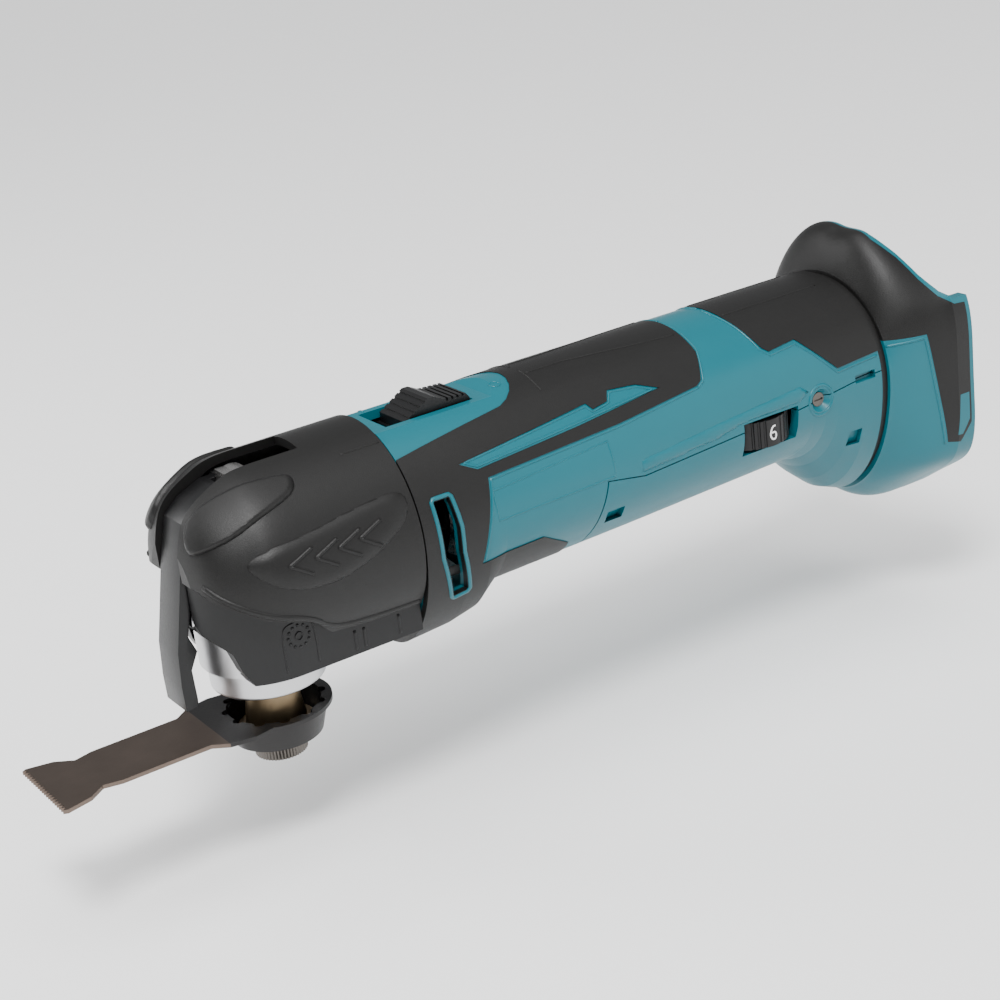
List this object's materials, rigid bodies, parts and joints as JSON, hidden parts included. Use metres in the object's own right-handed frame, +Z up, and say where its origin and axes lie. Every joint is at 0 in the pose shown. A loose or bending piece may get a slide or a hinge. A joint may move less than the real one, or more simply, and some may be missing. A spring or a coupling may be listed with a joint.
{
  "type": "cordless oscillating multi-tool",
  "caption": "Cordless oscillating multi-tool: slim barrel grip, angled head with lever clamp and plunge blade, slide switch, speed dial and slide-on battery seat.",
  "frame": {"origin": "accessory seat: the spindle's axis at the lower face of its flange", "axes": "+X along the barrel towards the battery seat, +Z up along the spindle, -Y the side with the speed dial"},
  "size_m": [0.3194, 0.0788, 0.1051],
  "materials": {
    "teal_plastic": "semi-gloss moulded",
    "black_rubber": "matt overmould",
    "black_plastic": "fine texture",
    "cast_aluminium": "satin",
    "bright_steel": "ground",
    "dark_steel": "blackened",
    "tan_spindle": "dull",
    "blade_steel": "oxide brown",
    "hub_black": "black oxide",
    "copper": "enamelled",
    "circuit_board": "solder mask",
    "clear_lens": "clear"
  },
  "bodies": {
    "root": {"main_housing": "teal_plastic", "lower_cover": "teal_plastic", "front_grip": "black_rubber", "rear_grip": "black_rubber", "switch_bezel": "teal_plastic", "head_boot": "black_rubber", "head_skirt": "black_plastic", "gear_housing": "cast_aluminium", "gear_case_cap": "cast_aluminium", "lever_pin": "bright_steel", "lower_spindle_bearing": "bright_steel", "upper_spindle_bearing": "bright_steel", "work_light_lens": "clear_lens", "work_light_board": "circuit_board", "gear_housing_screws": "dark_steel", "motor_can": "bright_steel", "motor_magnets": "dark_steel", "motor_end_cap": "black_plastic", "front_motor_bearing": "bright_steel", "rear_motor_bearing": "bright_steel", "brush_holders": "black_plastic", "brushes": "dark_steel", "brush_springs": "bright_steel", "switch_body": "black_plastic", "controller_board": "circuit_board", "rear_shroud": "teal_plastic", "shroud_grip": "black_rubber", "seal_ring": "black_rubber", "terminal_block": "black_plastic", "terminals": "bright_steel", "battery_rails": "black_plastic", "housing_screws": "dark_steel"},
    "spindle": {"spindle": "tan_spindle", "swing_fork": "bright_steel", "clamp_jaws": "bright_steel", "clamp_springs": "bright_steel"},
    "clamp_bolt": {"clamp_bolt": "dark_steel", "blade_hub": "hub_black", "plunge_blade": "blade_steel"},
    "lever": {"lever_handle": "black_plastic", "lever_cam": "bright_steel"},
    "release_pin": {"release_pin": "bright_steel"},
    "rotor": {"rotor_shaft": "bright_steel", "armature_core": "bright_steel", "windings": "copper", "commutator": "copper", "cooling_fan": "black_plastic", "eccentric": "bright_steel", "eccentric_bearing": "bright_steel"},
    "switch_slide": {"slide_knob": "black_plastic", "link_rod": "black_plastic"},
    "dial": {"speed_dial": "black_plastic"}
  },
  "joints": [
    {"name": "spindle_swing", "type": "hinge", "parent": "root", "child": "spindle", "pos_m": [0, 0, 0], "axis": [0, 0, 1], "range_deg": [-1.6, 1.6]},
    {"name": "bolt_pull", "type": "slide", "parent": "spindle", "child": "clamp_bolt", "axis": [0, 0, -1], "range_m": [0, 0.03]},
    {"name": "lever_open", "type": "hinge", "parent": "root", "child": "lever", "pos_m": [0, 0, 0.0768], "axis": [0, 1, 0], "range_deg": [0, 120]},
    {"name": "pin_press", "type": "slide", "parent": "root", "child": "release_pin", "axis": [0, 0, -1], "range_m": [0, 0.00151]},
    {"name": "rotor_spin", "type": "hinge", "parent": "root", "child": "rotor", "pos_m": [0.09, 0, 0.0533], "axis": [1, 0, 0], "continuous": true},
    {"name": "switch_slide", "type": "slide", "parent": "root", "child": "switch_slide", "axis": [-1, 0, 0], "range_m": [0, 0.006]},
    {"name": "dial_turn", "type": "hinge", "parent": "root", "child": "dial", "pos_m": [0.168, -0.0183, 0.0533], "axis": [0, 0, 1], "range_deg": [0, 250]}
  ],
  "couplings": [
    {"joint": "pin_press", "follows": "lever_open", "m_per_rad": 0.0007162}
  ]
}
